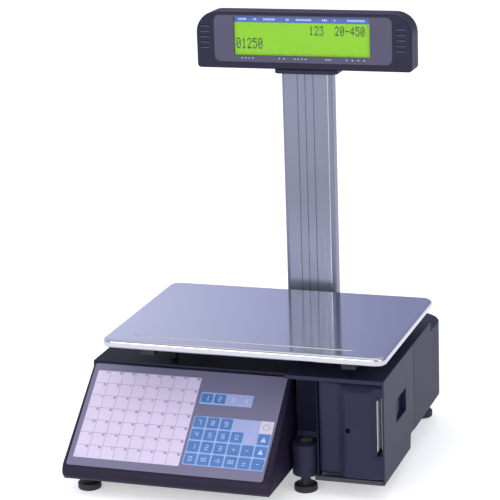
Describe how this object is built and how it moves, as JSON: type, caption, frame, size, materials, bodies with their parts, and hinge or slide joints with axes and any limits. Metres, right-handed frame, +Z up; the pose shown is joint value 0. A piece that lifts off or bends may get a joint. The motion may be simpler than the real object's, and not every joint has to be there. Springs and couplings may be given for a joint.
{
  "type": "retail price scale",
  "caption": "Counter price scale with steel platter, sloped keyboard console, side-loading label printer and a display head on a rear pole.",
  "frame": {"origin": "centre of the body footprint on the surface the feet stand on; the platter reaches 5 mm past the body on the right", "axes": "+Z up, the keyboard faces -Y, the label printer is at +X"},
  "size_m": [0.409, 0.403, 0.565],
  "materials": {
    "housing_plastic": "fine textured moulding",
    "console_plastic": "fine textured moulding",
    "overlay_film": "satin printed film",
    "preset_paper": "printed card under clear film",
    "key_film": "satin printed film",
    "circuit_board": "solder mask",
    "black_plastic": "moulded",
    "vial_fluid": "clear tinted",
    "zinc_steel": "zinc plated",
    "cast_aluminium": "as machined",
    "folded_steel": "plated sheet",
    "supply_case": "pressed aluminium case",
    "pole_aluminium": "satin anodised",
    "cable_jacket": "matt",
    "head_plastic": "fine textured moulding",
    "display_window": "clear",
    "lcd_panel": "backlit",
    "stainless": "polished stainless sheet",
    "pad_rubber": "matt",
    "cover_plastic": "fine textured moulding",
    "frame_plastic": "moulded",
    "label_paper": "coated label stock",
    "backing_paper": "silicone backing",
    "head_ceramic": "glazed",
    "lever_plastic": "moulded",
    "spool_plastic": "moulded",
    "platen_rubber": "ground",
    "gear_nylon": "moulded acetal",
    "pinion_brass": "machined",
    "black_coated": "black powder coat",
    "motor_case": "plated"
  },
  "bodies": {
    "body": {"base_chassis": "housing_plastic", "upper_housing": "housing_plastic", "console_housing": "console_plastic", "console_overlay": "overlay_film", "preset_sheet": "preset_paper", "function_keypad": "key_film", "short_key_strip": "key_film", "keyboard_board": "circuit_board", "level_post": "housing_plastic", "vial_ring": "black_plastic", "spirit_vial": "vial_fluid", "housing_screws": "zinc_steel", "load_cell": "cast_aluminium", "load_cell_base": "cast_aluminium", "overload_stops": "black_coated", "main_board": "circuit_board", "power_supply": "supply_case", "power_inlet": "black_plastic", "io_panel": "folded_steel", "printer_rails": "folded_steel", "pole_bracket": "folded_steel", "pole": "pole_aluminium", "pole_screws": "zinc_steel", "display_cable": "cable_jacket", "neck_collar": "head_plastic", "head_front_shell": "head_plastic", "head_rear_shell": "head_plastic", "head_front_window": "display_window", "head_rear_window": "display_window", "lcd_front": "lcd_panel", "lcd_rear": "lcd_panel", "head_screws": "zinc_steel"},
    "load_receptor": {"platter_spider": "black_coated", "platter_pads": "pad_rubber"},
    "platter": {"platter": "stainless"},
    "power_rocker": {"power_rocker": "black_plastic"},
    "foot_front_left": {"foot_front_left": "black_plastic"},
    "foot_front_middle": {"foot_front_middle": "black_plastic"},
    "foot_rear_left": {"foot_rear_left": "black_plastic"},
    "foot_rear_right": {"foot_rear_right": "black_plastic"},
    "cassette": {"cassette_frame": "frame_plastic", "cassette_front_cover": "cover_plastic", "cassette_side_cover": "cover_plastic", "drive_motor": "motor_case", "label_web": "label_paper", "peel_bar": "zinc_steel", "label_sensor": "black_plastic", "head_spring": "zinc_steel"},
    "release_lever": {"release_lever": "lever_plastic"},
    "print_head": {"thermal_head": "head_ceramic", "head_bracket": "cast_aluminium"},
    "label_roll": {"supply_spindle": "spool_plastic", "label_roll": "label_paper"},
    "rewind": {"rewind_spool": "spool_plastic", "rewound_backing": "backing_paper"},
    "platen": {"platen_roller": "platen_rubber", "platen_shaft": "zinc_steel", "platen_gear": "gear_nylon"},
    "idler": {"idler_gear": "gear_nylon"},
    "motor_pinion": {"motor_gear": "pinion_brass"}
  },
  "joints": [
    {"name": "weigh_travel", "type": "slide", "parent": "body", "child": "load_receptor", "axis": [0, 0, 1], "range_m": [-0.0006, 0], "stiffness_N_per_m": 200000},
    {"name": "platter_lift", "type": "slide", "parent": "load_receptor", "child": "platter", "axis": [0, 0, 1], "range_m": [0, 0.06]},
    {"name": "power_rocker_tilt", "type": "hinge", "parent": "body", "child": "power_rocker", "pos_m": [-0.099, 0.1965, 0.069], "axis": [1, 0, 0], "range_deg": [0, 18]},
    {"name": "foot_front_left_screw", "type": "slide", "parent": "body", "child": "foot_front_left", "axis": [0, 0, -1], "range_m": [0, 0.008]},
    {"name": "foot_front_middle_screw", "type": "slide", "parent": "body", "child": "foot_front_middle", "axis": [0, 0, -1], "range_m": [0, 0.008]},
    {"name": "foot_rear_left_screw", "type": "slide", "parent": "body", "child": "foot_rear_left", "axis": [0, 0, -1], "range_m": [0, 0.008]},
    {"name": "foot_rear_right_screw", "type": "slide", "parent": "body", "child": "foot_rear_right", "axis": [0, 0, -1], "range_m": [0, 0.008]},
    {"name": "cassette_slide", "type": "slide", "parent": "body", "child": "cassette", "axis": [1, 0, 0], "range_m": [0, 0.1]},
    {"name": "release_lever_turn", "type": "hinge", "parent": "cassette", "child": "release_lever", "pos_m": [0.1885, -0.097, 0.14], "axis": [0, 0, 1], "range_deg": [0, 60]},
    {"name": "print_head_pivot", "type": "hinge", "parent": "cassette", "child": "print_head", "pos_m": [0.1966, -0.087, 0.1], "axis": [0, 0, 1], "range_deg": [0, 3]},
    {"name": "label_roll_spin", "type": "hinge", "parent": "cassette", "child": "label_roll", "pos_m": [0.152, -0.02, 0.1], "axis": [0, 0, 1], "continuous": true},
    {"name": "platen_spin", "type": "hinge", "parent": "cassette", "child": "platen", "pos_m": [0.185, -0.112, 0.1], "axis": [0, 0, 1], "continuous": true},
    {"name": "idler_spin", "type": "hinge", "parent": "cassette", "child": "idler", "pos_m": [0.16563, -0.10702, 0.1], "axis": [0, 0, 1], "continuous": true},
    {"name": "rewind_spin", "type": "hinge", "parent": "cassette", "child": "rewind", "pos_m": [0.142, -0.092, 0.1], "axis": [0, 0, 1], "continuous": true},
    {"name": "motor_spin", "type": "hinge", "parent": "cassette", "child": "motor_pinion", "pos_m": [0.16563, -0.09022, 0.1], "axis": [0, 0, 1], "continuous": true}
  ],
  "couplings": [
    {"joint": "print_head_pivot", "follows": "release_lever_turn", "ratio": 0.05},
    {"joint": "platen_spin", "follows": "label_roll_spin", "ratio": 4},
    {"joint": "idler_spin", "follows": "label_roll_spin", "ratio": -2.6667},
    {"joint": "rewind_spin", "follows": "label_roll_spin", "ratio": 2},
    {"joint": "motor_spin", "follows": "label_roll_spin", "ratio": 6.6667}
  ]
}
